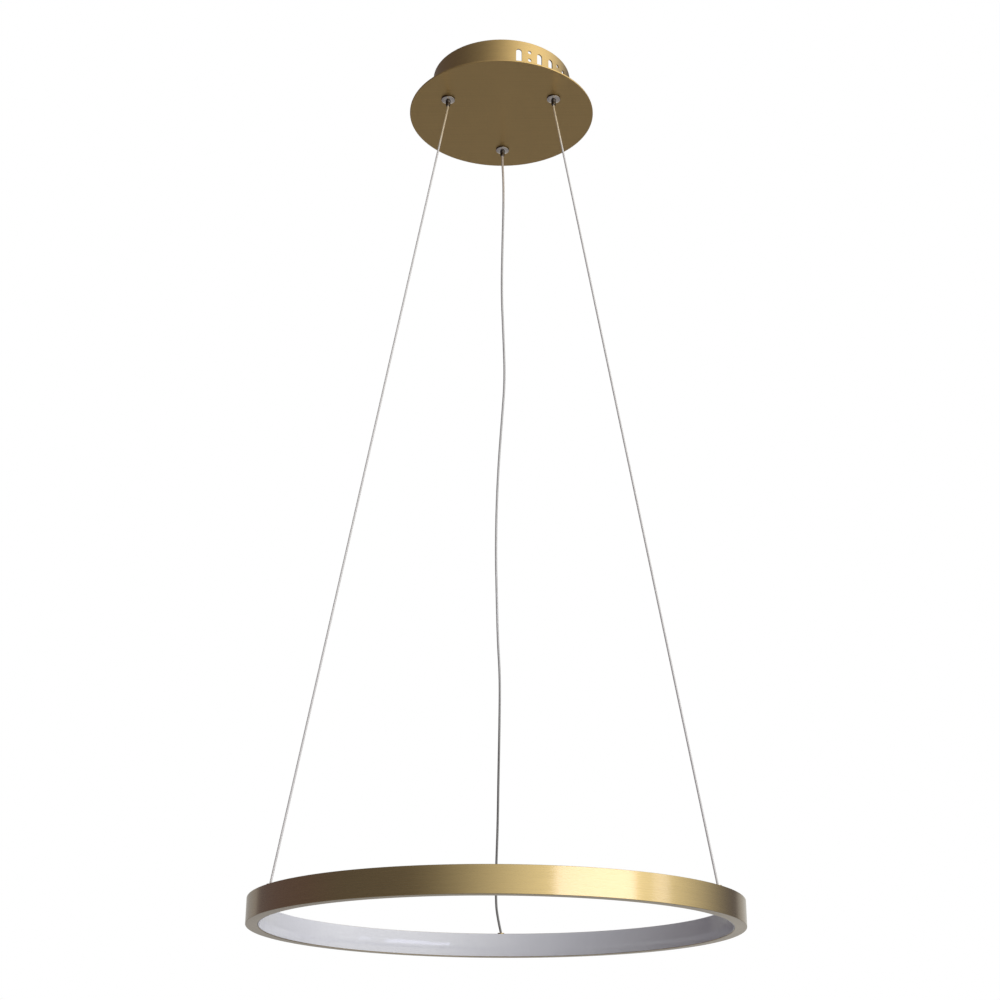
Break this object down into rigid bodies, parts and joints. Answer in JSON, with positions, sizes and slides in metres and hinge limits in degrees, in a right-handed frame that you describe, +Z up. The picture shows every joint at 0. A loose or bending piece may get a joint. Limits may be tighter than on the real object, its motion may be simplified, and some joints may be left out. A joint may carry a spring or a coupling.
{
  "type": "led ring pendant light",
  "caption": "Ring-shaped LED pendant light: a brushed gold ring with a white inner diffuser hangs on slim adjustable cords from a round vented ceiling canopy.",
  "frame": {"origin": "on the ceiling plane at the middle of the canopy, midway between the bracket's two ceiling slots", "axes": "+Z up into the ceiling, so the light hangs down into negative Z; +X along the bracket; -Y towards the viewer of the picture, +Y towards the power cord"},
  "size_m": [0.4, 0.4, 0.8105],
  "materials": {
    "ring_gold": "brushed along the ring, gold anodised",
    "canopy_gold": "satin gold plated",
    "opal_diffuser": "smooth opal white",
    "grip_chrome": "polished",
    "steel_zinc": "zinc plated",
    "spring_steel": "drawn wire",
    "brass_ball": "polished",
    "clear_cord": "clear sleeve over steel wire",
    "power_cord": "clear sleeve over tinned strands",
    "lead_insulation": "smooth white insulation",
    "earth_insulation": "smooth green insulation",
    "driver_plastic": "fine texture, white",
    "circuit_board": "green solder resist",
    "winding_tape": "yellow winding tape",
    "capacitor_can": "dark sleeve",
    "grommet_rubber": "matt black",
    "terminal_plastic": "natural white",
    "foam_pad": "closed-cell foam with adhesive",
    "led_board": "white solder resist",
    "led_phosphor": "yellow phosphor window"
  },
  "bodies": {
    "canopy": {"canopy_plate": "canopy_gold", "canopy_wall": "canopy_gold", "mounting_bracket": "steel_zinc", "side_screws": "steel_zinc", "grip_body_left": "grip_chrome", "grip_body_right": "grip_chrome", "grip_body_rear": "grip_chrome", "grip_spring_left": "spring_steel", "grip_spring_right": "spring_steel", "grip_spring_rear": "spring_steel", "grip_washers": "steel_zinc", "grip_nuts": "steel_zinc", "grip_caps": "grip_chrome", "left_cord": "clear_cord", "right_cord": "clear_cord", "power_cord": "power_cord", "left_cord_tail": "clear_cord", "right_cord_tail": "clear_cord", "power_cord_tail": "power_cord", "adhesive_pads": "foam_pad", "driver_tray": "driver_plastic", "driver_lid": "driver_plastic", "driver_board": "circuit_board", "driver_transformer": "winding_tape", "driver_capacitors": "capacitor_can", "output_grommet": "grommet_rubber", "terminal_block": "terminal_plastic", "terminal_screws": "steel_zinc", "supply_leads": "lead_insulation", "earth_stud": "steel_zinc", "earth_lug": "steel_zinc", "earth_nut": "steel_zinc", "earth_lead": "earth_insulation"},
    "ring": {"ring_profile": "ring_gold", "ring_diffuser": "opal_diffuser", "led_strip": "led_board", "led_chips": "led_phosphor", "cord_anchors": "grip_chrome", "cord_ferrules": "steel_zinc", "feed_leads": "lead_insulation"},
    "nozzle_left": {"release_nozzle_left": "grip_chrome", "clamp_balls_left": "brass_ball"},
    "nozzle_right": {"release_nozzle_right": "grip_chrome", "clamp_balls_right": "brass_ball"},
    "nozzle_rear": {"release_nozzle_rear": "grip_chrome", "clamp_balls_rear": "brass_ball"}
  },
  "joints": [
    {"name": "ring_height", "type": "slide", "parent": "canopy", "child": "ring", "axis": [0, 0, 1], "range_m": [0, 0.45], "deforming": ["left_cord", "right_cord", "power_cord"]},
    {"name": "release_left", "type": "slide", "parent": "canopy", "child": "nozzle_left", "axis": [0, 0, 1], "range_m": [0, 0.002], "stiffness_N_per_m": 400, "springref_m": -0.004, "deforming": ["grip_spring_left"]},
    {"name": "release_right", "type": "slide", "parent": "canopy", "child": "nozzle_right", "axis": [0, 0, 1], "range_m": [0, 0.002], "stiffness_N_per_m": 400, "springref_m": -0.004, "deforming": ["grip_spring_right"]},
    {"name": "release_rear", "type": "slide", "parent": "canopy", "child": "nozzle_rear", "axis": [0, 0, 1], "range_m": [0, 0.002], "stiffness_N_per_m": 400, "springref_m": -0.004, "deforming": ["grip_spring_rear"]}
  ]
}
